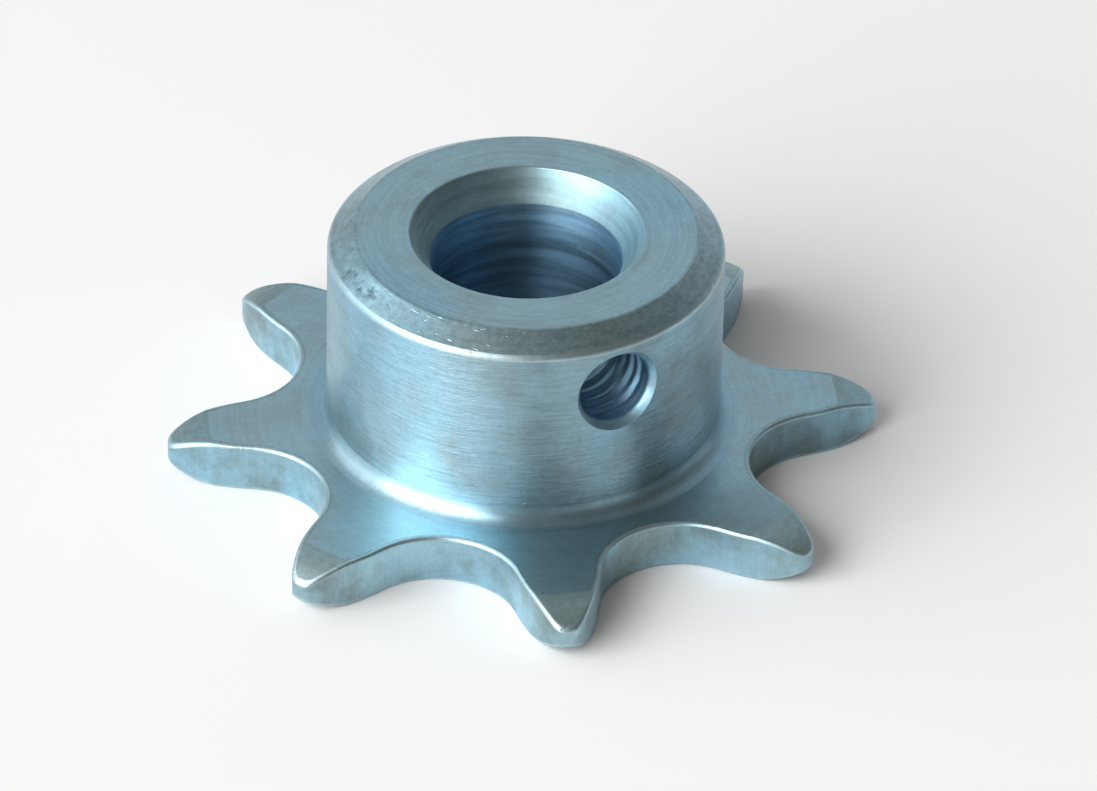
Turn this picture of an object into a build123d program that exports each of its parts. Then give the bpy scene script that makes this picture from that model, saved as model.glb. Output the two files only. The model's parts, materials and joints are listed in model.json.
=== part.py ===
from build123d import *
import os
from math import cos, degrees, pi, radians, sin

# A small chain sprocket turned and cut from one piece of steel: a thin plate with a ring of
# roller-chain teeth, and a boss on one side with a bore and a tapped hole for a set screw.
# Millimetres. The origin is on the bore's axis at the plate's outer face, the face that the part
# stands on. +Z runs along the bore to the nose of the boss, and the set screw comes in from -Y.

# Chain and teeth, with the height of their tips above the pitch circle
chain_pitch = 12.7
tooth_count = 8
seat_radius = 4.25
seat_angle = 114.0
tip_height = 2.05665
tip_land_width = 1.1
tip_corner_face_radius = 0.55
tip_relief_width = 2.15
tip_relief_depth = 0.8
tip_relief_radius = 5.0

# Plate and boss
plate_thickness = 2.7
total_height = 13.8
hub_diameter = 20.6
hub_root_radius = 0.9
nose_chamfer_width = 1.4
nose_chamfer_height = 0.9

# Bore
bore_diameter = 10.0
countersink_width = 1.1
countersink_depth = 1.6
bore_back_chamfer = 0.4

# Set screw hole, drilled to the core of its thread, and the angle by which the nearest tooth gap
# misses it, because the teeth weren't indexed to the hole
screw_core_diameter = 4.2
screw_edge_land = 0.65
screw_mouth_chamfer = 0.2
gap_offset_angle = 1.8

# Every other sharp edge is broken by this much
edge_break = 0.15

# Worked out from the sizes above
pitch_radius = chain_pitch / 2 / sin(pi / tooth_count)
tip_diameter = 2 * (pitch_radius + tip_height)
tip_radius = tip_diameter / 2
tip_corner_radius = tip_corner_face_radius + edge_break
hub_radius = hub_diameter / 2
bore_radius = bore_diameter / 2
countersink_radius = bore_radius + countersink_width
screw_radius = screw_core_diameter / 2
screw_height = total_height - nose_chamfer_height - screw_edge_land - screw_radius
tooth_step = 360 / tooth_count
first_gap_angle = -90 + gap_offset_angle


def polar(radius, angle):
    """The point at a radius and an angle in degrees from +X."""
    return Vector(radius * cos(radians(angle)), radius * sin(radians(angle)))


def from_axis(point):
    """How far a point lies from the bore's axis."""
    return Vector(point.X, point.Y).length


def nearest_vertex(face, point):
    """The corner of a flat section that lies nearest to a point."""
    return face.vertices().sort_by_distance(point)[0]


def gap_curves():
    """One tooth gap on +X and the land of the tooth after it.

    The roller sits in a round seat about the pitch point, a flank leaves the seat in a tangent
    arc on each side, and the land follows the tip circle from this gap's flank to the next one's.
    """
    roller = Vector(pitch_radius, 0)
    half_seat = seat_angle / 2
    seat_left = roller + polar(seat_radius, 180 - half_seat)
    seat_right = roller + polar(seat_radius, 180 + half_seat)
    corner_angle = tooth_step / 2 - degrees(tip_land_width / 2 / tip_radius)
    tip_left = polar(tip_radius, corner_angle)
    tip_right = polar(tip_radius, -corner_angle)
    return [
        ThreePointArc(seat_right, roller - Vector(seat_radius, 0), seat_left),
        TangentArc(seat_left, tip_left, tangent=polar(1, 90 - half_seat)),
        TangentArc(seat_right, tip_right, tangent=polar(1, half_seat - 90)),
        ThreePointArc(tip_left, polar(tip_radius, tooth_step / 2),
                      polar(tip_radius, tooth_step - corner_angle)),
    ]


def tooth_outline():
    """The closed outline of all the teeth, turned to where they stand beside the screw hole."""
    curves = []
    for tooth in range(tooth_count):
        turn = first_gap_angle + tooth * tooth_step
        curves += [curve.rotate(Axis.Z, turn) for curve in gap_curves()]
    return make_face(curves)


def relieved_disc():
    """The turned disc that the teeth are cut from, both faces falling away in an arc to its rim."""
    relief_start = tip_radius - tip_relief_width
    low_start, low_end = (relief_start, 0), (tip_radius, tip_relief_depth)
    high_start, high_end = (tip_radius, plate_thickness - tip_relief_depth), (relief_start, plate_thickness)
    section = make_face([
        Line((0, plate_thickness), (0, 0)),
        Line((0, 0), low_start),
        RadiusArc(low_start, low_end, -tip_relief_radius),
        Line(low_end, high_start),
        RadiusArc(high_start, high_end, -tip_relief_radius),
        Line(high_end, (0, plate_thickness)),
    ])
    return revolve(Plane.XZ * section, Axis.Z)


def toothed_plate():
    """The plate cut to the tooth outline, its tip corners rounded and its face edges broken.

    The relief at the tips goes deeper than the edge break, so there it has the last word.
    """
    plate = extrude(tooth_outline(), plate_thickness)
    tip_corners = [
        edge
        for edge in plate.edges().filter_by(Axis.Z)
        if from_axis(edge.center()) > tip_radius - tip_corner_radius
    ]
    plate = fillet(tip_corners, tip_corner_radius)
    plate = chamfer(plate.faces().filter_by(Axis.Z).edges(), edge_break)
    return plate & relieved_disc()


def boss():
    """The round boss on the plate, with its concave root and its chamfered nose."""
    nose_low = (hub_radius, total_height - nose_chamfer_height)
    nose_high = (hub_radius - nose_chamfer_width, total_height)
    root_end = (hub_radius + hub_root_radius, plate_thickness)
    root_start = (hub_radius, plate_thickness + hub_root_radius)
    outside = Polyline(root_start, nose_low, nose_high, (0, total_height), (0, plate_thickness), root_end)
    root = RadiusArc(root_end, root_start, hub_root_radius)
    section = make_face([*outside.edges(), root])
    section = chamfer([nearest_vertex(section, nose_low), nearest_vertex(section, nose_high)], edge_break)
    return revolve(Plane.XZ * section, Axis.Z)


def bore_tool():
    """What the bore takes away: a back chamfer, the plain bore and the countersink at the nose."""
    past = total_height
    back_rim = (bore_radius + bore_back_chamfer, 0)
    nose_rim = (countersink_radius, total_height)
    section = make_face(Polyline(
        (0, -past),
        (bore_radius + bore_back_chamfer, -past),
        back_rim,
        (bore_radius, bore_back_chamfer),
        (bore_radius, total_height - countersink_depth),
        nose_rim,
        (hub_radius, total_height),
        (hub_radius, total_height + past),
        (0, total_height + past),
        close=True,
    ))
    section = chamfer([nearest_vertex(section, nose_rim)], edge_break)
    return revolve(Plane.XZ * section, Axis.Z)


def screw_tool():
    """The drill for the set screw, from the bore's axis out through the wall on -Y."""
    reach = hub_radius + screw_radius
    drill = extrude(Plane.XZ * Circle(screw_radius), reach)
    return Pos(0, 0, screw_height) * drill


def with_screw_hole(body):
    """The body with the set screw's hole, its mouth chamfered on the outside of the boss."""
    body = body - screw_tool()
    round_walls = body.faces().filter_by(GeomType.CYLINDER)
    hole_wall = round_walls.sort_by(lambda face: abs(face.axis_of_rotation.direction.Y))[-1]
    mouth = [
        edge
        for edge in hole_wall.edges().filter_by(GeomType.LINE, reverse=True)
        if from_axis(edge @ 0.5) > (bore_radius + hub_radius) / 2
    ]
    return chamfer(mouth, screw_mouth_chamfer)


def sprocket():
    """The whole sprocket, one solid."""
    body = toothed_plate() + boss() - bore_tool()
    return with_screw_hole(body.clean())


os.makedirs("parts", exist_ok=True)
export_step(sprocket(), "parts/sprocket.step")
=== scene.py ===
"""A small plated chain sprocket: a turned boss on a toothed plate, with a tapped set screw hole."""
import json
import logging
import math
from dataclasses import dataclass, field
from enum import Enum, IntEnum
from typing import Any, Union

import bpy
import numpy as np
from mathutils import Matrix, Vector


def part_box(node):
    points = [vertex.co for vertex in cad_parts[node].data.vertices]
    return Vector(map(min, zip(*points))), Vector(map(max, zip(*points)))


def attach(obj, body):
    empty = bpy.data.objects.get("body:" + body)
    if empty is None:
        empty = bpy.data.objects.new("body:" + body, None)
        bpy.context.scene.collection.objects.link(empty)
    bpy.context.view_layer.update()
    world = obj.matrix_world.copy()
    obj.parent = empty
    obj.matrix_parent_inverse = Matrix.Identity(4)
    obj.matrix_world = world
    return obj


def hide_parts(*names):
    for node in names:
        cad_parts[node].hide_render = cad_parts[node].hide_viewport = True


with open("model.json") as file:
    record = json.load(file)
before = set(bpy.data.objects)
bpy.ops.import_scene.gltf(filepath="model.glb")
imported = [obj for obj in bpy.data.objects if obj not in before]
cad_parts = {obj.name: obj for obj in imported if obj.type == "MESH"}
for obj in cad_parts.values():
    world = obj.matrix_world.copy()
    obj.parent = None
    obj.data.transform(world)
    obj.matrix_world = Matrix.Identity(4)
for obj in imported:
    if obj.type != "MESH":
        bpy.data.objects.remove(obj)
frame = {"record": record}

log = logging.getLogger("sprocket")
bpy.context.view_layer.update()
MM = 1e-3
MICROMETRE = 1e-6
TAU = math.tau
ZONE_ATTRIBUTE = "zone"
KNOCK_ATTRIBUTE = "knock"

# Tool marks: a stroke's length in pitches, the nicks' pitch in millimetres and their breaks in a radian
STROKE_LENGTH = 20.0
NICK_PITCH = 0.16
NICK_BREAKS = 20.0
FINE_MARK_SHARE = 0.7
DEEP_MARK_SHARE = 0.5

Colour = tuple[float, float, float]
Span = tuple[float, float]
Operand = Union["Value", float]

# Between which levels each pattern steps from 0 to 1
FINE_MARK_SPAN: Span = (0.34, 0.66)
DEEP_MARK_SPAN: Span = (0.60, 0.74)
NICK_SPAN: Span = (0.66, 0.76)
BLOTCH_SPAN: Span = (0.30, 0.70)
PATCH_SPAN: Span = (0.35, 0.65)
COOL_SPAN: Span = (0.36, 0.64)
GREY_SPAN: Span = (0.42, 0.74)
SPECK_SPAN: Span = (0.40, 0.60)
SHADE_PATCH_SPAN: Span = (0.25, 1.0)


@dataclass(frozen=True)
class Pattern:
    """A cloudy pattern: its cells in one unit, its finer layers and how strong they are."""

    scale: float
    detail: float
    rough: float


# Patterns of the plating, with their cells in a metre
DRIFT = Pattern(95.0, 1.0, 0.5)
CLOUD = Pattern(260.0, 3.0, 0.6)
UNEVEN = Pattern(900.0, 3.0, 0.6)
BLOTCH = Pattern(2400.0, 3.0, 0.65)
SPECK = Pattern(4600.0, 2.0, 0.6)
GRAIN = Pattern(8000.0, 2.0, 0.7)

# Patterns of the marks, with their cells in a pitch, and of the knocks, with their cells in a millimetre
FINE_MARK = Pattern(1.0, 2.0, 0.6)
DEEP_MARK = Pattern(0.4, 1.0, 0.5)
NICK = Pattern(1.0, 1.0, 0.5)
KNOCK_EDGE = Pattern(4.5, 2.0, 0.5)


class Zone(IntEnum):
    """The surfaces of the sprocket that each have a finish of their own."""

    BORE = 0
    COUNTERSINK = 1
    NOSE = 2
    CHAMFER = 3
    WALL = 4
    ROOT = 5
    PLATE = 6
    RELIEF = 7
    FLANK = 8
    EDGE = 9
    BACK = 10
    THREAD = 11
    MOUTH = 12


class ToolMarks(Enum):
    """How the cutter's marks lie on a surface."""

    RINGS = "rings about the axis on a faced surface"
    LINES = "level lines on a turned wall"
    STROKES = "short strokes along a milled flank"


class Value:
    """A number in a node tree that takes Python's own operators."""

    def __init__(self, bench: "NodeBench", socket: bpy.types.NodeSocket) -> None:
        """Wraps a socket of the tree that the bench works on."""
        self.bench = bench
        self.socket = socket

    def __add__(self, other: Operand) -> "Value":
        """Returns self + other."""
        return self.bench.math("ADD", self, other)

    def __radd__(self, other: Operand) -> "Value":
        """Returns other + self."""
        return self.bench.math("ADD", other, self)

    def __sub__(self, other: Operand) -> "Value":
        """Returns self - other."""
        return self.bench.math("SUBTRACT", self, other)

    def __rsub__(self, other: Operand) -> "Value":
        """Returns other - self."""
        return self.bench.math("SUBTRACT", other, self)

    def __mul__(self, other: Operand) -> "Value":
        """Returns self * other."""
        return self.bench.math("MULTIPLY", self, other)

    def __rmul__(self, other: Operand) -> "Value":
        """Returns other * self."""
        return self.bench.math("MULTIPLY", other, self)

    def __truediv__(self, other: Operand) -> "Value":
        """Returns self / other."""
        return self.bench.math("DIVIDE", self, other)

    def __mod__(self, other: Operand) -> "Value":
        """Returns what is left of self after whole steps of other."""
        return self.bench.math("MODULO", self, other)

    def __pow__(self, other: Operand) -> "Value":
        """Returns self to the power of other."""
        return self.bench.math("POWER", self, other)

    def __abs__(self) -> "Value":
        """Returns self without its sign."""
        return self.bench.math("ABSOLUTE", self)

    def __lt__(self, other: Operand) -> "Value":
        """Returns 1 where self is under other, else 0."""
        return self.bench.math("LESS_THAN", self, other)

    def __gt__(self, other: Operand) -> "Value":
        """Returns 1 where self is over other, else 0."""
        return self.bench.math("GREATER_THAN", self, other)

    def sin(self) -> "Value":
        """Returns the sine of self."""
        return self.bench.math("SINE", self)

    def cos(self) -> "Value":
        """Returns the cosine of self."""
        return self.bench.math("COSINE", self)

    def sqrt(self) -> "Value":
        """Returns the square root of self, or 0 under 0."""
        return self.bench.math("SQRT", self)

    def sign(self) -> "Value":
        """Returns -1, 0 or 1 by the sign of self."""
        return self.bench.math("SIGN", self)

    def floor(self) -> "Value":
        """Returns the whole number at or under self."""
        return self.bench.math("FLOOR", self)

    def round(self) -> "Value":
        """Returns the whole number nearest to self."""
        return self.bench.math("ROUND", self)

    def fraction(self) -> "Value":
        """Returns self less the whole number at or under it."""
        return self.bench.math("FRACT", self)

    def least(self, other: Operand) -> "Value":
        """Returns the smaller of self and other."""
        return self.bench.math("MINIMUM", self, other)

    def most(self, other: Operand) -> "Value":
        """Returns the larger of self and other."""
        return self.bench.math("MAXIMUM", self, other)

    def soft_least(self, other: Operand, reach: Operand) -> "Value":
        """Returns the smaller of self and other, blended where they are within reach."""
        return self.bench.math("SMOOTH_MIN", self, other, reach)

    def soft_most(self, other: Operand, reach: Operand) -> "Value":
        """Returns the larger of self and other, blended where they are within reach."""
        return self.bench.math("SMOOTH_MAX", self, other, reach)

    def angle_from(self, across: Operand) -> "Value":
        """Returns the angle whose tangent is self over across."""
        return self.bench.math("ARCTAN2", self, across)

    def held(self) -> "Value":
        """Returns self held between 0 and 1."""
        return self.most(0.0).least(1.0)

    def swing(self) -> "Value":
        """Returns self moved from the range 0 to 1 to the range -1 to 1."""
        return (self - 0.5) * 2.0

    def step(self, low: float, high: float) -> "Value":
        """Returns a smooth step from 0 at low to 1 at high."""
        ramp = ((self - low) / (high - low)).held()
        return ramp * ramp * (3.0 - 2.0 * ramp)

    def pick(self, where_one: Operand, where_zero: Operand) -> "Value":
        """Returns where_one where self is 1 and where_zero where it is 0."""
        return self * where_one + (1.0 - self) * where_zero


class NodeBench:
    """Adds nodes and links to one node tree."""

    def __init__(self, tree: bpy.types.NodeTree) -> None:
        """Works on the given tree, from an empty start."""
        self.tree = tree
        tree.nodes.clear()

    def feed(self, socket: bpy.types.NodeSocket, given: Any) -> None:
        """Links a value or socket to an input, or sets the input's own number.

        Args:
            socket: The input to feed.
            given: A Value, an output socket, or a plain value.
        """
        source = given.socket if isinstance(given, Value) else given
        if isinstance(source, bpy.types.NodeSocket):
            self.tree.links.new(source, socket)
        else:
            socket.default_value = source

    def node(
        self,
        kind: str,
        settings: dict[str, Any] | None = None,
        sockets: dict[str | int, Any] | None = None,
    ) -> bpy.types.Node:
        """Adds a node.

        Args:
            kind: The node's type.
            settings: Its settings, set first.
            sockets: Values or links for its inputs, by name or place.

        Returns:
            The new node.
        """
        made = self.tree.nodes.new(kind)
        for name, setting in (settings or {}).items():
            setattr(made, name, setting)
        for key, given in (sockets or {}).items():
            self.feed(made.inputs[key], given)
        return made

    def value(
        self,
        kind: str,
        output: str | int,
        settings: dict[str, Any] | None = None,
        sockets: dict[str | int, Any] | None = None,
    ) -> Value:
        """Adds a node and returns one of its outputs as a value.

        Args:
            kind: The node's type.
            output: The output's name or place.
            settings: The node's settings.
            sockets: Values or links for its inputs.

        Returns:
            The output, ready for operators.
        """
        return Value(self, self.node(kind, settings, sockets).outputs[output])

    def math(self, operation: str, *operands: Operand) -> Value:
        """Returns the result of a Math node on the operands."""
        return self.value("ShaderNodeMath", 0, {"operation": operation}, dict(enumerate(operands)))

    def vector(self, x: Operand, y: Operand, z: Operand) -> bpy.types.NodeSocket:
        """Returns a vector with the given parts."""
        return self.node("ShaderNodeCombineXYZ", None, {"X": x, "Y": y, "Z": z}).outputs[0]

    def parts(self, vector: bpy.types.NodeSocket) -> tuple[Value, Value, Value]:
        """Returns the x, y and z of a vector."""
        split = self.node("ShaderNodeSeparateXYZ", None, {0: vector})
        return tuple(Value(self, output) for output in split.outputs)

    def noise(self, vector: bpy.types.NodeSocket, pattern: Pattern) -> Value:
        """Reads a cloudy pattern.

        Args:
            vector: Where to read it.
            pattern: The pattern.

        Returns:
            Its level there, from 0 to 1.
        """
        sockets = {
            "Vector": vector,
            "Scale": pattern.scale,
            "Detail": pattern.detail,
            "Roughness": pattern.rough,
        }
        return self.value("ShaderNodeTexNoise", 0, None, sockets)

    def blend(self, share: Operand, first: Any, second: Any, how: str = "MIX") -> bpy.types.NodeSocket:
        """Mixes two colours.

        Args:
            share: How much of the second shows.
            first: A colour or a socket that carries one.
            second: The other colour.
            how: The Mix node's way of blending.

        Returns:
            The socket with the mixed colour.
        """
        sockets = {
            0: share,
            6: first if isinstance(first, bpy.types.NodeSocket) else (*first, 1.0),
            7: second if isinstance(second, bpy.types.NodeSocket) else (*second, 1.0),
        }
        return self.node("ShaderNodeMix", {"data_type": "RGBA", "blend_type": how}, sockets).outputs[2]


class ShapeTree:
    """A Geometry Nodes tree with named sizes, to be put on an object and turned into its mesh."""

    def __init__(self, name: str) -> None:
        """Makes the tree with its geometry input and output.

        Args:
            name: The tree's name.
        """
        self.tree = bpy.data.node_groups.new(name, "GeometryNodeTree")
        self.tree.interface.new_socket("Geometry", in_out="INPUT", socket_type="NodeSocketGeometry")
        self.tree.interface.new_socket("Geometry", in_out="OUTPUT", socket_type="NodeSocketGeometry")
        self.bench = NodeBench(self.tree)
        self.entry = self.bench.node("NodeGroupInput")
        self.amounts: dict[str, float] = {}

    def geometry(self) -> bpy.types.NodeSocket:
        """Returns the geometry that the tree starts from."""
        return self.entry.outputs["Geometry"]

    def size(self, name: str, amount: float) -> Value:
        """Adds a named size.

        Args:
            name: The size's name on the modifier.
            amount: Its number, whole where it is a count.

        Returns:
            The size as a value of the tree.
        """
        kind = "NodeSocketInt" if isinstance(amount, int) else "NodeSocketFloat"
        made = self.tree.interface.new_socket(name, in_out="INPUT", socket_type=kind)
        self.amounts[made.identifier] = amount
        return Value(self.bench, self.entry.outputs[name])

    def end(self, geometry: bpy.types.NodeSocket, finishes: dict[Zone, bpy.types.Material]) -> None:
        """Ends the tree with real geometry that carries its materials.

        Args:
            geometry: What the tree has made, with the zone of each face as an attribute.
            finishes: The material of each zone.
        """
        zone = self.bench.value(
            "GeometryNodeInputNamedAttribute", "Attribute", {"data_type": "INT"}, {"Name": ZONE_ATTRIBUTE}
        )
        shaped = self.bench.node("GeometryNodeRealizeInstances", None, {"Geometry": geometry}).outputs[0]
        for place, material in finishes.items():
            chosen = abs(zone - float(place)) < 0.5
            sockets = {"Geometry": shaped, "Selection": chosen, "Material": material}
            shaped = self.bench.node("GeometryNodeSetMaterial", None, sockets).outputs[0]
        self.bench.node("NodeGroupOutput", None, {"Geometry": shaped})

    def run_on(self, piece: bpy.types.Object) -> None:
        """Runs the tree on an object and leaves it as a plain mesh.

        Args:
            piece: An object whose mesh is what the tree starts from.
        """
        modifier = piece.modifiers.new(self.tree.name, "NODES")
        modifier.node_group = self.tree
        for identifier, amount in self.amounts.items():
            modifier[identifier] = amount
        shown = piece.evaluated_get(bpy.context.evaluated_depsgraph_get())
        made = bpy.data.meshes.new_from_object(shown)
        piece.modifiers.remove(modifier)
        while None in made.materials[:]:
            made.materials.pop(index=made.materials[:].index(None))
        piece.data = made
        made.name = piece.name


@dataclass(frozen=True)
class FrameSizes:
    """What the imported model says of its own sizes, in millimetres and radians."""

    height: float
    bore_radius: float
    screw_radius: float
    screw_height: float
    teeth: int
    pitch_radius: float
    first_gap: float

    @classmethod
    def read(cls) -> "FrameSizes":
        """Reads the node's box, the mounts and the gaps between the teeth.

        Returns:
            The sizes.
        """
        record = frame["record"]
        mounts = {mount["name"]: mount for mount in record["mounts"]}
        gaps = record["physics"]["openings"]
        low, high = (np.array(corner) for corner in gaps[0]["box_m"])
        gap_x, gap_y, _ = (low + high) / 2 / MM
        return cls(
            height=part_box("sprocket")[1].z / MM,
            bore_radius=mounts["bore"]["dims"]["r_mm"],
            screw_radius=mounts["set_screw_hole"]["dims"]["r_mm"],
            screw_height=mounts["set_screw_hole"]["pos_m"][2] / MM,
            teeth=len(gaps),
            pitch_radius=math.hypot(gap_x, gap_y),
            first_gap=math.atan2(gap_y, gap_x),
        )


@dataclass(frozen=True)
class DepthShade:
    """Painted shade that darkens a finish with depth below a height, in millimetres, to a share of its
    brightness.
    """

    top: float
    depth: float
    level: float


@dataclass(frozen=True)
class ShadePatch:
    """A patch painted darker about one point of a surface: painted shade on the wall and the flank, and a
    darker patch on the plate at one tooth. Sizes in millimetres and degrees.
    """

    turn: float
    radius: float
    height: float
    width: float
    shade: float
    ragged: float = 0.7

    def left(self, bench: NodeBench, place: bpy.types.NodeSocket) -> Value:
        """Works out how much brightness the patch leaves.

        Args:
            bench: The bench of the material's tree.
            place: Object coordinates in metres.

        Returns:
            The share of brightness that is left, 0 to 1.
        """
        x, y, z = (part / MM for part in bench.parts(place))
        turn = math.radians(self.turn)
        east, north = x - self.radius * math.cos(turn), y - self.radius * math.sin(turn)
        up = z - self.height
        away = (east * east + north * north + up * up).sqrt() / self.width
        uneven = (bench.noise(place, UNEVEN) - 0.5) * self.ragged
        return 1.0 - self.shade * (1.0 - (away + uneven).step(*SHADE_PATCH_SPAN))


@dataclass(frozen=True)
class PlatedSteel:
    """Zinc-plated steel as one cutting tool left it.

    The tint is linear, the mark pitch is in millimetres and the depths are in micrometres. The marks'
    breaks are how often a mark starts afresh in one radian about the axis.
    """

    name: str
    marks: ToolMarks
    tint: Colour = (0.352, 0.540, 0.612)
    cool_shift: Colour = (0.90, 1.0, 1.07)
    grey_shift: Colour = (0.98, 0.88, 0.82)
    roughness: float = 0.36
    rough_spread: float = 0.06
    anisotropy: float = 0.3
    across_marks: float = 0.25
    mark_pitch: float = 0.13
    mark_breaks: float = 2.5
    mark_depth: float = 1.6
    mark_shade: float = 0.05
    grain_depth: float = 0.8
    grain_shade: float = 0.16
    blotch_depth: float = 0.0
    blotch_shade: float = 0.04
    patch_shade: float = 0.03
    nick_depth: float = 0.0
    grey_share: float = 0.6
    knock_shade: float = 0.0
    depth_shade: DepthShade | None = None
    shade_patches: tuple[ShadePatch, ...] = ()

    def material(self) -> bpy.types.Material:
        """Makes a material with this finish.

        Returns:
            The new material.
        """
        made = bpy.data.materials.new(self.name)
        made.use_nodes = True
        bench = NodeBench(made.node_tree)
        place = bench.node("ShaderNodeTexCoord").outputs["Object"]
        marks = self._marks(bench, place)
        cloud = bench.noise(place, CLOUD)
        grain = bench.noise(place, GRAIN)
        blotch = bench.noise(place, BLOTCH)
        shade = 1.0 - self.mark_shade * marks.swing() - self.grain_shade * grain.swing()
        shade = shade - self.blotch_shade * blotch.step(*BLOTCH_SPAN).swing()
        shade = shade - self.patch_shade * cloud.step(*PATCH_SPAN).swing()
        shade = shade * self._wear_and_painted_shade(bench, place)
        colour = bench.blend(1.0, self._plating(bench, place, cloud), self._grey(bench, shade), "MULTIPLY")
        roughness = self.roughness + self.rough_spread * cloud.swing()
        height = marks * self.mark_depth + grain * self.grain_depth + blotch * self.blotch_depth
        if self.nick_depth > 0.0:
            nick = bench.noise(self._lay(bench, place, NICK_PITCH, NICK_BREAKS), NICK)
            height = height - self.nick_depth * nick.step(*NICK_SPAN)
        sockets = {"Strength": 1.0, "Distance": MICROMETRE, "Height": height}
        bump = bench.node("ShaderNodeBump", None, sockets)
        shader = bench.node(
            "ShaderNodeBsdfPrincipled",
            None,
            {
                "Base Color": colour,
                "Metallic": 1.0,
                "Roughness": roughness,
                "Anisotropic": self.anisotropy,
                "Anisotropic Rotation": self.across_marks,
                "Normal": bump.outputs[0],
            },
        )
        bench.node("ShaderNodeOutputMaterial", None, {"Surface": shader.outputs[0]})
        return made

    @staticmethod
    def _grey(bench: NodeBench, level: Value) -> bpy.types.NodeSocket:
        """Returns a grey of the given level."""
        return bench.node("ShaderNodeCombineColor", None, {0: level, 1: level, 2: level}).outputs[0]

    def _shifted(self, shift: Colour) -> Colour:
        """Returns the tint with each of its parts shifted."""
        return tuple(part * change for part, change in zip(self.tint, shift))

    def _plating(self, bench: NodeBench, place: bpy.types.NodeSocket, cloud: Value) -> bpy.types.NodeSocket:
        """Mixes the plating's tints.

        Args:
            bench: The bench of the material's tree.
            place: Object coordinates in metres.
            cloud: The cloudy noise that greys it.

        Returns:
            The colour before marks and wear.
        """
        drift = bench.noise(place, DRIFT)
        colour = bench.blend(drift.step(*COOL_SPAN), self.tint, self._shifted(self.cool_shift))
        greyed = cloud.step(*GREY_SPAN) * self.grey_share
        return bench.blend(greyed, colour, self._shifted(self.grey_shift))

    def _wear_and_painted_shade(self, bench: NodeBench, place: bpy.types.NodeSocket) -> Value:
        """Darkens the knocks, and paints the shade patches and the shade that deepens below a height.

        Args:
            bench: The bench of the material's tree.
            place: Object coordinates in metres.

        Returns:
            The share of brightness that is left, 0 to 1.
        """
        knock = bench.value("ShaderNodeAttribute", "Fac", {"attribute_name": KNOCK_ATTRIBUTE})
        speck = bench.noise(place, SPECK).step(*SPECK_SPAN)
        left = 1.0 - self.knock_shade * knock * speck
        for shade_patch in self.shade_patches:
            left = left * shade_patch.left(bench, place)
        if self.depth_shade is None:
            return left
        # Painted shade: darker with depth below the shade's top
        height = bench.parts(place)[2] / MM
        lit = height.step(self.depth_shade.top - self.depth_shade.depth, self.depth_shade.top)
        return left * lit.pick(1.0, self.depth_shade.level)

    def _marks(self, bench: NodeBench, place: bpy.types.NodeSocket) -> Value:
        """Draws the cutter's marks.

        Args:
            bench: The bench of the material's tree.
            place: Object coordinates in metres.

        Returns:
            The marks from 0 to 1.
        """
        lay = self._lay(bench, place, self.mark_pitch, self.mark_breaks)
        fine = bench.noise(lay, FINE_MARK).step(*FINE_MARK_SPAN)
        deep = bench.noise(lay, DEEP_MARK).step(*DEEP_MARK_SPAN)
        return (FINE_MARK_SHARE * fine + DEEP_MARK_SHARE * deep).held()

    def _lay(
        self, bench: NodeBench, place: bpy.types.NodeSocket, pitch: float, breaks: float
    ) -> bpy.types.NodeSocket:
        """Gives coordinates that follow the cutter's path over the surface.

        Args:
            bench: The bench of the material's tree.
            place: Object coordinates in metres.
            pitch: The length across the path that counts as one, in millimetres.
            breaks: How much one radian along the path counts.

        Returns:
            The coordinates, the first of them across the path.
        """
        x, y, z = bench.parts(place)
        step = pitch * MM
        if self.marks is ToolMarks.STROKES:
            return bench.vector(x / step, y / step, z / (step * STROKE_LENGTH))
        turn = y.angle_from(x)
        across = z if self.marks is ToolMarks.LINES else (x * x + y * y).sqrt()
        return bench.vector(across / step, turn.cos() * breaks, turn.sin() * breaks)


@dataclass(frozen=True)
class Corner:
    """A corner of the turned section, and the surface that runs on from it.

    Sizes are in millimetres. A corner with no rounding only marks a change of slope or of zone.
    """

    radius: float
    height: float
    rounding: float
    zone: Zone
    spacing: float
    edge: Zone = Zone.EDGE


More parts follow.
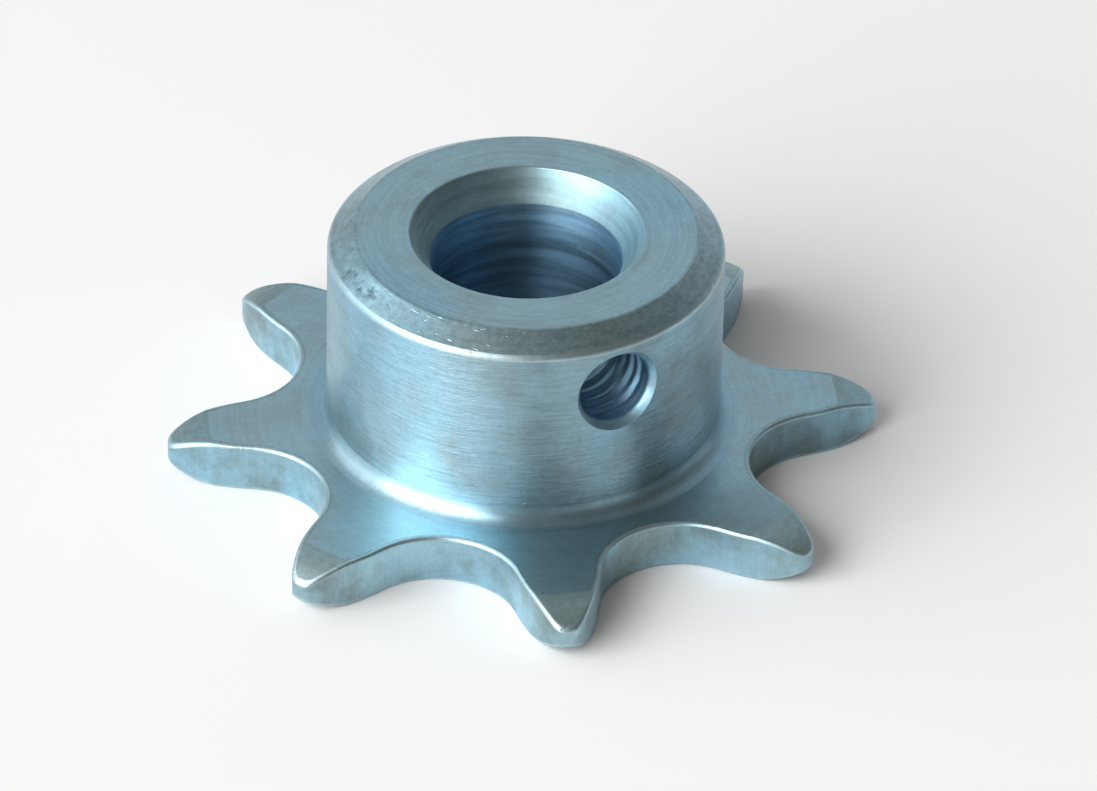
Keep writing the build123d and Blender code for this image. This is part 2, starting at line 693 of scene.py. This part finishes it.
@dataclass
class TurnedSection:
    """The half section that the boss and the plate's blank are turned to, in millimetres."""

    height: float
    bore_radius: float
    tip_radius: float
    relief_start: float
    thickness: float = 2.7
    hub_radius: float = 10.3
    root_rounding: float = 0.9
    chamfer_width: float = 1.4
    chamfer_height: float = 0.9
    countersink_width: float = 1.1
    countersink_depth: float = 1.6
    back_chamfer: float = 0.4
    edge_rounding: float = 0.2
    nose_rounding: float = 0.4
    face_rounding: float = 0.35
    sink_rounding: float = 0.2
    back_rounding: float = 0.1
    arc_steps: int = 5
    guard: float = 0.04

    @property
    def root_circle(self) -> float:
        """The radius at which the boss's concave root runs out on the plate."""
        return self.hub_radius + self.root_rounding

    def corners(self) -> list[Corner]:
        """Lists the section's corners.

        Returns:
            The corners, up the bore, out over the boss and back under the plate.
        """
        top, plate, back = self.height, self.thickness, self.back_rounding
        bore, hub, rim = self.bore_radius, self.hub_radius, self.tip_radius
        sink, face, nose = self.sink_rounding, self.face_rounding, self.nose_rounding
        return [
            Corner(bore, self.back_chamfer, back, Zone.BORE, 1.2),
            Corner(bore, top - self.countersink_depth, sink, Zone.COUNTERSINK, 0.3, Zone.COUNTERSINK),
            Corner(bore + self.countersink_width, top, sink, Zone.NOSE, 0.35, Zone.NOSE),
            Corner(hub - self.chamfer_width, top, face, Zone.CHAMFER, 0.14, Zone.CHAMFER),
            Corner(hub, top - self.chamfer_height, nose, Zone.WALL, 0.7),
            Corner(hub, plate, self.root_rounding, Zone.PLATE, 0.5, Zone.ROOT),
            Corner(self.relief_start, plate, 0.0, Zone.RELIEF, 0.22),
            Corner(rim, plate, self.edge_rounding, Zone.FLANK, 0.4),
            Corner(rim, 0.0, self.edge_rounding, Zone.RELIEF, 0.3),
            Corner(self.relief_start, 0.0, 0.0, Zone.BACK, 0.9),
            Corner(bore + self.back_chamfer, 0.0, back, Zone.BORE, 0.3),
        ]

    def _arc(self, before: Corner, here: Corner, after: Corner) -> list[Vector]:
        """Rounds one corner.

        Args:
            before: The corner that the section comes from.
            here: The corner to round.
            after: The corner that the section goes on to.

        Returns:
            The points of the rounding in order, or the corner alone where it has none.
        """
        point = Vector((here.radius, here.height))
        if here.rounding == 0.0:
            return [point]
        come = (point - Vector((before.radius, before.height))).normalized()
        go = (Vector((after.radius, after.height)) - point).normalized()
        turn = math.atan2(come.cross(go), come.dot(go))
        start = point - come * here.rounding * math.tan(abs(turn) / 2)
        side = math.copysign(1.0, turn)
        centre = start + Vector((-come.y, come.x)) * side * here.rounding
        spokes = [Matrix.Rotation(turn * step / self.arc_steps, 2) for step in range(self.arc_steps + 1)]
        return [centre + spoke @ (start - centre) for spoke in spokes]

    def _run(self, start: Vector, end: Vector, spacing: float) -> list[Vector]:
        """Divides a straight run, with a row close to each end that keeps the shading of it flat.

        Args:
            start: Where the run starts.
            end: Where it ends.
            spacing: The longest step between the rows.

        Returns:
            The points between start and end.
        """
        length = (end - start).length
        along = (end - start) / length
        steps = max(1, math.ceil((length - 2 * self.guard) / spacing))
        reach = [self.guard + (length - 2 * self.guard) * step / steps for step in range(steps + 1)]
        return [start + along * distance for distance in reach]

    def rows(self) -> tuple[list[Vector], list[Zone]]:
        """Draws the section from corner to corner.

        Returns:
            The points of the closed section, the first one again at the end, and each run's zone.
        """
        corners = self.corners()
        count = len(corners)
        arcs = [self._arc(corners[i - 1], corners[i], corners[(i + 1) % count]) for i in range(count)]
        points: list[Vector] = []
        zones: list[Zone] = []
        for i, corner in enumerate(corners):
            points += arcs[i]
            zones += [corner.edge] * (len(arcs[i]) - 1)
            run = self._run(arcs[i][-1], arcs[(i + 1) % count][0], corner.spacing)
            points += run
            zones += [corner.zone] * (len(run) + 1)
        return [*points, points[0]], zones

    def mesh(self, name: str) -> bpy.types.Mesh:
        """Draws the section as a line in the XZ plane, with each edge's zone as an attribute.

        Args:
            name: The mesh's name.

        Returns:
            The new mesh.
        """
        points, zones = self.rows()
        made = bpy.data.meshes.new(name)
        edges = [(i, i + 1) for i in range(len(zones))]
        made.from_pydata([(point.x, 0.0, point.y) for point in points], edges, [])
        marked = made.attributes.new(ZONE_ATTRIBUTE, "INT", "EDGE")
        marked.data.foreach_set("value", [int(zone) for zone in zones])
        return made


@dataclass
class ToothRing:
    """The roller-chain teeth, as a rule for the plate's rim at any angle. Sizes in millimetres."""

    count: int
    pitch_radius: float
    first_gap: float
    seat_radius: float = 4.25
    seat_angle: float = math.radians(114.0)
    tip_radius: float = 18.65
    land_width: float = 1.1
    corner_blend: float = 0.80
    relief_width: float = 2.15
    relief_depth: float = 0.8
    relief_radius: float = 5.0
    columns_each: int = 60
    seat_share: float = 0.36
    flank_share: float = 0.44
    least_depth: float = 0.1

    @property
    def relief_start(self) -> float:
        """The radius at which the faces begin to fall away towards the tips."""
        return self.tip_radius - self.relief_width

    def relief(self, shape: ShapeTree, past_start: Value) -> Value:
        """Gives how far a face has fallen, on an arc, at a distance past the relief's start.

        Args:
            shape: The tree that the rule is added to.
            past_start: The distance outwards from where the relief starts, 0 or more.

        Returns:
            The fall in millimetres.
        """
        chord = math.hypot(self.relief_width, self.relief_depth)
        lean = math.atan2(self.relief_depth, self.relief_width) - math.asin(chord / 2 / self.relief_radius)
        arc = shape.size("Relief radius", self.relief_radius)
        along = past_start + arc * math.sin(lean)
        return arc * math.cos(lean) - (arc * arc - along * along).sqrt()

    @property
    def half_step(self) -> float:
        """Half the angle from one tooth to the next."""
        return math.pi / self.count

    @property
    def corner_angle(self) -> float:
        """The angle from a gap's middle to where its flank meets the tip circle."""
        return self.half_step - self.land_width / 2 / self.tip_radius

    @property
    def seat_end(self) -> float:
        """The angle from a gap's middle to where its round seat ends."""
        half = self.seat_angle / 2
        across, back = self.seat_radius * math.sin(half), self.seat_radius * math.cos(half)
        return math.atan2(across, self.pitch_radius - back)

    def flank_circle(self) -> tuple[float, Vector]:
        """Works out the flank's arc, tangent to the seat, in a gap on +X.

        Returns:
            The arc's radius and its centre.
        """
        roller = Vector((self.pitch_radius, 0.0))
        tip = self.tip_radius * Vector((math.cos(self.corner_angle), math.sin(self.corner_angle)))
        lean = math.pi - self.seat_angle / 2
        away = Vector((math.cos(lean), math.sin(lean)))
        back = roller - tip
        reach = (self.seat_radius**2 - back.length_squared) / (2 * (away.dot(back) + self.seat_radius))
        return reach - self.seat_radius, roller + away * reach

    def turn(self, shape: ShapeTree, column: Value) -> tuple[Value, Value, Value]:
        """Spreads the columns over the teeth, closer where the rim bends more.

        Args:
            shape: The tree that the rule is added to.
            column: The column's number, from 0.

        Returns:
            The column's angle, its angle from the nearest gap's middle, and its share of the way
            from that middle to the tooth's.
        """
        teeth = shape.size("Teeth", self.count)
        first = shape.size("First gap angle", self.first_gap)
        step = column / float(self.columns_each)
        gap = step.round()
        side = step - gap
        share = abs(side) * 2.0
        seat, flank = self.seat_share, self.flank_share
        from_gap = (
            (share / seat).held() * self.seat_end
            + ((share - seat) / flank).held() * (self.corner_angle - self.seat_end)
            + ((share - seat - flank) / (1.0 - seat - flank)).held() * (self.half_step - self.corner_angle)
        )
        return first + gap * TAU / teeth + side.sign() * from_gap, from_gap, share

    def rim(self, shape: ShapeTree, from_gap: Value, share: Value) -> tuple[Value, Value]:
        """Gives the rim's radius by the tooth form.

        Args:
            shape: The tree that the rule is added to.
            from_gap: The angle from the nearest gap's middle.
            share: The share of the way from the gap's middle to the tooth's.

        Returns:
            The rim's radius, and how much further it moves along the radius than across the rim.
        """
        flank_radius, flank_centre = self.flank_circle()
        pitch = shape.size("Pitch radius", self.pitch_radius)
        seat = shape.size("Seat radius", self.seat_radius)
        flank = shape.size("Flank radius", flank_radius)
        reach = shape.size("Flank centre radius", flank_centre.length)
        tip = shape.size("Tip radius", self.tip_radius)
        seat_depth = (seat * seat - (pitch * from_gap.sin()) ** 2.0).sqrt()
        lean = from_gap - math.atan2(flank_centre.y, flank_centre.x)
        flank_depth = (flank * flank - (reach * lean.sin()) ** 2.0).sqrt()
        in_seat = share < self.seat_share
        cut = in_seat.pick(pitch * from_gap.cos() - seat_depth, reach * lean.cos() + flank_depth)
        least = self.least_depth
        slant = in_seat.pick(seat / seat_depth.most(least), flank / flank_depth.most(least))
        on_land = ((cut - tip) / self.corner_blend + 0.5).held()
        return cut.soft_least(tip, self.corner_blend), on_land.pick(1.0, slant)


@dataclass
class TappedHole:
    """The set screw's tapped hole, as the solid that it takes away. Sizes in millimetres."""

    height: float
    core_radius: float
    hub_radius: float
    bore_radius: float
    thread_pitch: float = 0.8
    thread_depth: float = 0.24
    crest_share: float = 0.15
    root_share: float = 0.10
    mouth_break: float = 0.22
    mouth_blend: float = 0.3
    crest_inset: float = 0.14
    run_in: Span = (0.3, 1.7)
    outside: float = 0.6
    inside: float = 1.2
    around: int = 120
    rows_each: int = 12

    def cutter(self, shape: ShapeTree) -> bpy.types.NodeSocket:
        """Adds the threaded cutter, along -Y at the hole's height.

        Args:
            shape: The tree that the cutter is added to.

        Returns:
            The cutter's closed mesh, in millimetres.
        """
        bench = shape.bench
        core = shape.size("Thread core radius", self.core_radius)
        pitch = shape.size("Thread pitch", self.thread_pitch)
        depth = shape.size("Thread depth", self.thread_depth)
        hub = shape.size("Boss radius", self.hub_radius)
        start = -(self.hub_radius + self.outside)
        length = self.hub_radius + self.outside - self.bore_radius + self.inside
        rows = math.ceil(length / self.thread_pitch * self.rows_each)
        counts = {"Vertices X": self.around + 1, "Vertices Y": rows + 1}
        grid = bench.node("GeometryNodeMeshGrid", None, counts)
        index = bench.value("GeometryNodeInputIndex", 0)
        row = index % float(rows + 1)
        turn = (index / float(rows + 1)).floor() * (TAU / self.around)
        along = start + row * (length / rows)
        across = core * turn.cos()
        deep = along + (hub * hub - across * across).sqrt()
        wave = abs((along / pitch - turn / TAU).fraction() * 2.0 - 1.0)
        groove = wave.step(self.crest_share, 1.0 - self.root_share)
        wall = core - self.crest_inset + depth * groove * deep.step(*self.run_in)
        opened = wall.soft_most(core + self.mouth_break - deep, self.mouth_blend)
        between_ends = (row > 0.5) * (row < rows - 0.5)
        radius = opened * between_ends
        spot = bench.vector(radius * turn.cos(), along, radius * turn.sin() + self.height)
        moved = bench.node("GeometryNodeSetPosition", None, {"Geometry": grid.outputs[0], "Position": spot})
        return moved.outputs[0]

    def zone(self, bench: NodeBench) -> Value:
        """Tells the broken mouth from the thread.

        Args:
            bench: The bench of the tree.

        Returns:
            The zone of the cutter's faces.
        """
        x, y, _ = bench.parts(bench.node("GeometryNodeInputPosition").outputs[0])
        at_mouth = (x * x + y * y).sqrt() > self.hub_radius - self.mouth_break - self.mouth_blend
        return at_mouth.pick(float(Zone.MOUTH), float(Zone.THREAD))


@dataclass
class Ding:
    """A small knock: a dent in the surface about one point. Sizes in millimetres and degrees."""

    turn: float
    radius: float
    height: float
    width: float
    depth: float


@dataclass
class Sprocket:
    """The whole sprocket in one piece, with its finishes. Sizes in millimetres and radians."""

    sizes: FrameSizes
    teeth: ToothRing = field(init=False)
    section: TurnedSection = field(init=False)
    hole: TappedHole = field(init=False)
    smooth_angle: float = math.radians(32.0)
    weld: float = 5e-4
    row_slack: float = 1e-4
    crease_share: float = 0.93
    knock_raggedness: float = 3.0
    # Painted shade inside the bore: how far below the countersink it starts, how deep it runs and the share
    # of brightness left
    bore_shade_start: float = 0.1
    bore_shade_depth: float = 3.2
    bore_shade_level: float = 0.62
    dings: tuple[Ding, ...] = (
        Ding(-173.0, 9.45, 13.45, 0.34, 0.03),
        Ding(-175.5, 9.55, 13.40, 0.42, 0.035),
        Ding(-178.5, 9.80, 13.25, 0.30, 0.025),
        Ding(-182.0, 9.60, 13.35, 0.36, 0.03),
        Ding(-186.5, 9.50, 13.42, 0.34, 0.025),
        Ding(-189.0, 9.75, 13.28, 0.40, 0.03),
    )

    def __post_init__(self) -> None:
        """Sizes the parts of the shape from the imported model."""
        read = self.sizes
        self.teeth = ToothRing(read.teeth, read.pitch_radius, read.first_gap)
        self.section = TurnedSection(
            read.height, read.bore_radius, self.teeth.tip_radius, self.teeth.relief_start
        )
        self.hole = TappedHole(
            read.screw_height, read.screw_radius, self.section.hub_radius, read.bore_radius
        )

    def finishes(self) -> dict[Zone, bpy.types.Material]:
        """Makes the finishes.

        Returns:
            Each zone's material.
        """
        rings, lines, strokes = ToolMarks.RINGS, ToolMarks.LINES, ToolMarks.STROKES
        hub, plate = self.section.hub_radius, self.section.thickness
        # The bore is painted darker with depth: painted shade inside the bore
        shade_top = self.sizes.height - self.section.countersink_depth - self.bore_shade_start
        bore_depth_shade = DepthShade(shade_top, self.bore_shade_depth, self.bore_shade_level)
        faced = PlatedSteel("faced_zinc", rings, mark_pitch=0.16, mark_depth=2.4, mark_shade=0.08)
        # The plate's patch is painted darker at one tooth on the right
        plain = PlatedSteel(
            "plate_zinc", rings, (0.390, 0.555, 0.610), shade_patches=(ShadePatch(-65.7, 15.4, plate, 4.6, 0.28),),
        )
        sunk = PlatedSteel(
            "countersunk_zinc", rings, (0.304, 0.455, 0.500), roughness=0.54, anisotropy=0.6,
            mark_pitch=0.3, mark_breaks=0.9, mark_depth=22.0, mark_shade=0.16,
        )
        chamfered = PlatedSteel(
            "chamfered_zinc", rings, (0.315, 0.465, 0.515), roughness=0.35, anisotropy=0.0,
            mark_depth=1.2, mark_shade=0.08, grain_shade=0.24, blotch_depth=6.0, blotch_shade=0.14,
            nick_depth=8.0, knock_shade=0.6,
        )
        # The wall's two patches are painted shade: a darker reflection on its right side, and shade low on
        # its left by the root
        turned = PlatedSteel(
            "turned_zinc", lines, (0.290, 0.450, 0.525), roughness=0.41, anisotropy=0.75,
            mark_pitch=0.15, mark_breaks=6.0, mark_depth=11.0, mark_shade=0.10, grain_depth=1.6,
            nick_depth=10.0, grey_share=0.9, patch_shade=0.05,
            shade_patches=(ShadePatch(-66.0, hub, 8.0, 5.0, 0.16), ShadePatch(-177.0, hub, 4.2, 3.0, 0.26)),
        )
        bored = PlatedSteel(
            "bored_zinc", lines, (0.245, 0.440, 0.600), roughness=0.48, anisotropy=0.8,
            mark_pitch=0.46, mark_breaks=0.9, mark_depth=14.0, mark_shade=0.35, depth_shade=bore_depth_shade,
        )
        # The thread's dark tint is painted shade inside the tapped hole
        tapped = PlatedSteel("tapped_zinc", lines, (0.200, 0.340, 0.450), roughness=0.50, mark_depth=0.2)
        opened = PlatedSteel("opened_zinc", lines, (0.300, 0.460, 0.540), roughness=0.46, anisotropy=0.0)
        rooted = PlatedSteel(
            "root_zinc", rings, (0.360, 0.545, 0.625), roughness=0.36, anisotropy=0.85, mark_depth=1.0,
        )
        relieved = PlatedSteel(
            "relieved_zinc", rings, (0.318, 0.445, 0.460), roughness=0.42, grain_shade=0.2,
            blotch_shade=0.08,
        )
        # The flank's patch is painted shade: the dark reflection of shaded floor beside a tooth on the
        # right
        milled = PlatedSteel(
            "milled_zinc", strokes, (0.312, 0.475, 0.540), anisotropy=0.0, mark_depth=0.8,
            mark_shade=0.04, grey_share=1.0, grey_shift=(0.99, 0.86, 0.76), blotch_depth=2.0,
            blotch_shade=0.06, patch_shade=0.20,
            shade_patches=(ShadePatch(-31.0, 15.5, 1.3, 6.0, 0.27),),
        )
        worn = PlatedSteel(
            "worn_edge_zinc", rings, (0.420, 0.570, 0.620), roughness=0.44, anisotropy=0.5,
            mark_depth=0.5, blotch_depth=9.0, nick_depth=12.0,
        )
        made = {
            Zone.BORE: bored,
            Zone.COUNTERSINK: sunk,
            Zone.NOSE: faced,
            Zone.CHAMFER: chamfered,
            Zone.WALL: turned,
            Zone.ROOT: rooted,
            Zone.PLATE: plain,
            Zone.RELIEF: relieved,
            Zone.FLANK: milled,
            Zone.EDGE: worn,
            Zone.BACK: plain,
            Zone.THREAD: tapped,
            Zone.MOUTH: opened,
        }
        materials = {finish: finish.material() for finish in dict.fromkeys(made.values())}
        return {zone: materials[finish] for zone, finish in made.items()}

    def _turned(self, shape: ShapeTree) -> bpy.types.NodeSocket:
        """Turns the section and cuts the teeth by their rule.

        Args:
            shape: The tree that starts from the section's line.

        Returns:
            The closed mesh in millimetres, with the zone of each face.
        """
        bench, section, ring = shape.bench, self.section, self.teeth
        rows = len(section.rows()[0])
        columns = ring.count * ring.columns_each
        grid = bench.node("GeometryNodeMeshGrid", None, {"Vertices X": columns + 1, "Vertices Y": rows})
        index = bench.value("GeometryNodeInputIndex", 0)
        angle, from_gap, share = ring.turn(shape, (index / float(rows)).floor())
        rim, slant = ring.rim(shape, from_gap, share)
        blank = bench.node(
            "GeometryNodeSampleIndex",
            {"data_type": "FLOAT_VECTOR", "domain": "POINT"},
            {
                "Geometry": shape.geometry(),
                "Value": bench.node("GeometryNodeInputPosition").outputs[0],
                "Index": index % float(rows),
            },
        )
        blank_radius, _, blank_height = bench.parts(blank.outputs[0])
        radius, height = self._cut(shape, blank_radius, blank_height, rim, slant)
        radius, height, knock = self._knocked(shape, radius, height, angle)
        spot = bench.vector(radius * angle.cos(), radius * angle.sin(), height)
        moved = bench.node("GeometryNodeSetPosition", None, {"Geometry": grid.outputs[0], "Position": spot})
        marked = bench.node(
            "GeometryNodeStoreNamedAttribute",
            {"data_type": "FLOAT", "domain": "POINT"},
            {"Geometry": moved.outputs[0], "Name": KNOCK_ATTRIBUTE, "Value": knock},
        )
        zone = bench.node(
            "GeometryNodeSampleIndex",
            {"data_type": "INT", "domain": "EDGE"},
            {
                "Geometry": shape.geometry(),
                "Value": bench.node(
                    "GeometryNodeInputNamedAttribute", {"data_type": "INT"}, {"Name": ZONE_ATTRIBUTE}
                ).outputs["Attribute"],
                "Index": index % float(rows - 1),
            },
        )
        return self._zoned(bench, marked.outputs[0], zone.outputs[0])

    def _knocked(
        self, shape: ShapeTree, radius: Value, height: Value, angle: Value
    ) -> tuple[Value, Value, Value]:
        """Presses the knocks into the surface, inwards and down.

        Args:
            shape: The tree that the rule is added to.
            radius: The row's radius.
            height: The row's height.
            angle: The column's angle.

        Returns:
            The radius and height with the knocks, and how deep in a knock the point is, 0 to 1.
        """
        spot = shape.bench.vector(radius * angle.cos(), radius * angle.sin(), height)
        ragged = (shape.bench.noise(spot, KNOCK_EDGE) - 0.5) * self.knock_raggedness
        depth, knock = 0.0, 0.0
        for ding in self.dings:
            turn = math.radians(ding.turn)
            across = radius * (angle - turn).sin()
            ahead = radius * (angle - turn).cos() - ding.radius
            up = height - ding.height
            away = (across * across + ahead * ahead + up * up) / ding.width**2
            near = (1.0 - away - ragged).most(0.0)
            dent = near * near
            depth = dent * ding.depth + depth
            knock = dent + knock
        press = depth * math.sqrt(0.5)
        return radius - press, height - press, knock.held()

    def _zoned(self, bench: NodeBench, mesh: bpy.types.NodeSocket, zone: Any) -> bpy.types.NodeSocket:
        """Stores the zone of each face of a mesh, closes its seams and turns its faces outwards.

        Args:
            bench: The bench of the tree.
            mesh: A grid bent into a closed form.
            zone: The number of each face's zone, as a value or a socket.

        Returns:
            The closed mesh.
        """
        stored = bench.node(
            "GeometryNodeStoreNamedAttribute",
            {"data_type": "INT", "domain": "FACE"},
            {"Geometry": mesh, "Name": ZONE_ATTRIBUTE, "Value": zone},
        )
        sockets = {"Geometry": stored.outputs[0], "Distance": self.weld}
        closed = bench.node("GeometryNodeMergeByDistance", None, sockets)
        return bench.node("GeometryNodeFlipFaces", None, {0: closed.outputs[0]}).outputs[0]

    def _cut(
        self, shape: ShapeTree, radius: Value, height: Value, rim: Value, slant: Value
    ) -> tuple[Value, Value]:
        """Draws the plate's rows in to the rim of the teeth, and lets them fall away at the tips.

        Args:
            shape: The tree that the rule is added to.
            radius: The row's radius on the blank.
            height: The row's height on the blank.
            rim: The rim's radius at this column.
            slant: How much further the rim moves along the radius than across it.

        Returns:
            The row's radius and height on the cut part.
        """
        section, ring = self.section, self.teeth
        thick = shape.size("Plate thickness", section.thickness)
        root = section.root_circle
        start = shape.size("Relief start radius", ring.relief_start)
        edge = section.edge_rounding
        inset = ring.tip_radius - radius
        edge_line = rim - edge * slant
        crease = start.least(root + (edge_line - root) * self.crease_share)
        inner = root + (radius - root) * (crease - root) / (start - root)
        outer = crease + (radius - start) * (edge_line - crease) / (ring.tip_radius - edge - start)
        slack = self.row_slack
        face = (radius > start + slack).pick(outer, inner)
        cut = (inset < edge + slack).pick(rim - inset * slant, face)
        on_plate = radius > root + slack
        new_radius = on_plate.pick(cut, radius)
        fall = ring.relief(shape, (new_radius - start).most(0.0))
        middle = thick / 2.0
        side = height - middle
        sunk = abs(side) - fall * (abs(side) / (middle - edge)).least(1.0)
        return new_radius, on_plate.pick(middle + side.sign() * sunk, height)

    def build(self) -> bpy.types.Object:
        """Makes the finished sprocket, riding on the body in place of the solid.

        Returns:
            The sprocket's object.
        """
        shape = ShapeTree("sprocket_shape")
        bench = shape.bench
        body = self._turned(shape)
        cutter = self._zoned(bench, self.hole.cutter(shape), self.hole.zone(bench))
        drilled = bench.node(
            "GeometryNodeMeshBoolean",
            {"operation": "DIFFERENCE", "solver": "EXACT"},
            {"Mesh 1": body, "Mesh 2": cutter},
        )
        sockets = {"Geometry": drilled.outputs[0], "Scale": (MM, MM, MM)}
        shape.end(bench.node("GeometryNodeTransform", None, sockets).outputs[0], self.finishes())
        piece = bpy.data.objects.new("sprocket_body", self.section.mesh("sprocket_section"))
        bpy.context.scene.collection.objects.link(piece)
        shape.run_on(piece)
        piece.data.shade_smooth()
        piece.data.set_sharp_from_angle(angle=self.smooth_angle)
        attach(piece, "root")
        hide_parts("sprocket")
        return piece


@dataclass(frozen=True)
class Softbox:
    """A soft light at an angle from the camera's side of the object, in degrees and metres."""

    name: str
    azimuth: float
    elevation: float
    width: float
    height: float
    radiance: float
    distance: float = 1.2


@dataclass
class Studio:
    """The pale floor, the soft light and the camera at the photograph's angle.

    Angles are in degrees and lengths in metres, but the sensor's width is in millimetres.
    """

    camera_azimuth: float = -28.659
    camera_elevation: float = 34.904
    camera_roll: float = 1.214
    camera_distance: float = 0.5025
    focal_pixels: float = 9637.5
    frame_pixels: float = 1097.0
    sensor_width: float = 36.0
    aim: Vector = field(default_factory=lambda: Vector((0.0, 0.0, 0.005)))
    off_centre_pixels: tuple[float, float] = (24.54, -24.06)
    floor_half: float = 1.5
    floor_colour: Colour = (0.92, 0.92, 0.92)
    dim_colour: Colour = (1.08, 1.0, 0.92)
    pale_colour: Colour = (0.96, 1.0, 1.04)
    room_level: float = 0.22
    pale_level: float = 0.58
    pale_azimuth: float = -165.0
    pale_span: Span = (-0.2, 0.7)
    dim_share: float = 0.55
    dim_azimuth: float = 75.0
    dim_span: Span = (0.1, 0.9)
    light_colour: Colour = (1.0, 1.0, 1.0)
    lights: tuple[Softbox, ...] = (
        Softbox("window_light", -50.0, 28.0, 1.2, 1.12, 5.4),
        Softbox("side_light", -98.0, 26.0, 0.9, 1.0, 1.4),
    )

    def _direction(self, azimuth: float, elevation: float) -> Vector:
        """Returns the direction at an azimuth from the camera's and an elevation, in degrees."""
        turn, rise = math.radians(self.camera_azimuth + azimuth), math.radians(elevation)
        return Vector((math.sin(turn) * math.cos(rise), -math.cos(turn) * math.cos(rise), math.sin(rise)))

    def place_camera(self) -> bpy.types.Object:
        """Sets up the camera for the photograph's frame.

        Returns:
            The camera's object.
        """
        back = self._direction(0.0, self.camera_elevation)
        level = Vector((0.0, 0.0, 1.0)).cross(back).normalized()
        rise = back.cross(level)
        roll = math.radians(self.camera_roll)
        right = math.cos(roll) * level + math.sin(roll) * rise
        up = math.cos(roll) * rise - math.sin(roll) * level
        pixel = self.camera_distance / self.focal_pixels
        across, rising = self.off_centre_pixels
        centre = self.aim + (right * across + up * rising) * pixel
        lens = bpy.data.cameras.new("photo_camera")
        lens.sensor_fit = "HORIZONTAL"
        lens.sensor_width = self.sensor_width
        lens.lens = self.focal_pixels / self.frame_pixels * self.sensor_width
        camera = bpy.data.objects.new("photo_camera", lens)
        bpy.context.scene.collection.objects.link(camera)
        facing = Matrix((right, up, back)).transposed().to_4x4()
        camera.matrix_world = Matrix.Translation(centre + back * self.camera_distance) @ facing
        bpy.context.scene.camera = camera
        return camera

    def lay_floor(self) -> bpy.types.Object:
        """Lays the pale floor under the object.

        Returns:
            The floor's object.
        """
        half = self.floor_half
        made = bpy.data.meshes.new("floor")
        corners = [(-half, -half, 0.0), (half, -half, 0.0), (half, half, 0.0), (-half, half, 0.0)]
        made.from_pydata(corners, [], [(0, 1, 2, 3)])
        material = bpy.data.materials.new("pale_floor")
        material.use_nodes = True
        bench = NodeBench(material.node_tree)
        matt = bench.node("ShaderNodeBsdfDiffuse", None, {"Color": (*self.floor_colour, 1.0)})
        bench.node("ShaderNodeOutputMaterial", None, {"Surface": matt.outputs[0]})
        made.materials.append(material)
        floor = bpy.data.objects.new("floor", made)
        bpy.context.scene.collection.objects.link(floor)
        return floor

    def light(self) -> None:
        """Sets the soft lights and the dim room around them."""
        for box in self.lights:
            lamp = bpy.data.lights.new(box.name, "AREA")
            lamp.shape = "RECTANGLE"
            lamp.color = self.light_colour
            lamp.size, lamp.size_y = box.width, box.height
            lamp.energy = box.radiance * math.pi * box.width * box.height
            holder = bpy.data.objects.new(box.name, lamp)
            bpy.context.scene.collection.objects.link(holder)
            away = self._direction(box.azimuth, box.elevation)
            holder.location = away * box.distance
            holder.rotation_euler = away.to_track_quat("Z", "Y").to_euler()
        self._room()

    def _room(self) -> None:
        """Makes the room around the lights, paler behind the object and dimmer on its right."""
        world = bpy.data.worlds.new("room")
        world.use_nodes = True
        bench = NodeBench(world.node_tree)
        towards = bench.node("ShaderNodeTexCoord").outputs["Generated"]
        x, y, _ = bench.parts(towards)
        pale = self._direction(self.pale_azimuth, 0.0)
        dim = self._direction(self.dim_azimuth, 0.0)
        paleness = (x * pale.x + y * pale.y).step(*self.pale_span)
        level = self.room_level + (self.pale_level - self.room_level) * paleness
        level = level * (1.0 - self.dim_share * (x * dim.x + y * dim.y).step(*self.dim_span))
        colour = bench.blend(paleness, self.dim_colour, self.pale_colour)
        glow = bench.node("ShaderNodeBackground", None, {"Color": colour, "Strength": level})
        bench.node("ShaderNodeOutputWorld", None, {"Surface": glow.outputs[0]})
        bpy.context.scene.world = world

    def build(self) -> None:
        """Sets up the view, the floor, the camera and the lights."""
        bpy.context.scene.view_settings.view_transform = "Standard"
        self.lay_floor()
        self.place_camera()
        self.light()


def main() -> None:
    """Builds the sprocket and its studio and reports what was made."""
    logging.basicConfig(level=logging.INFO, format="%(name)s: %(message)s")
    piece = Sprocket(FrameSizes.read()).build()
    log.info("%s has %d faces", piece.name, len(piece.data.polygons))
    Studio().build()


if __name__ == "__main__":
    main()
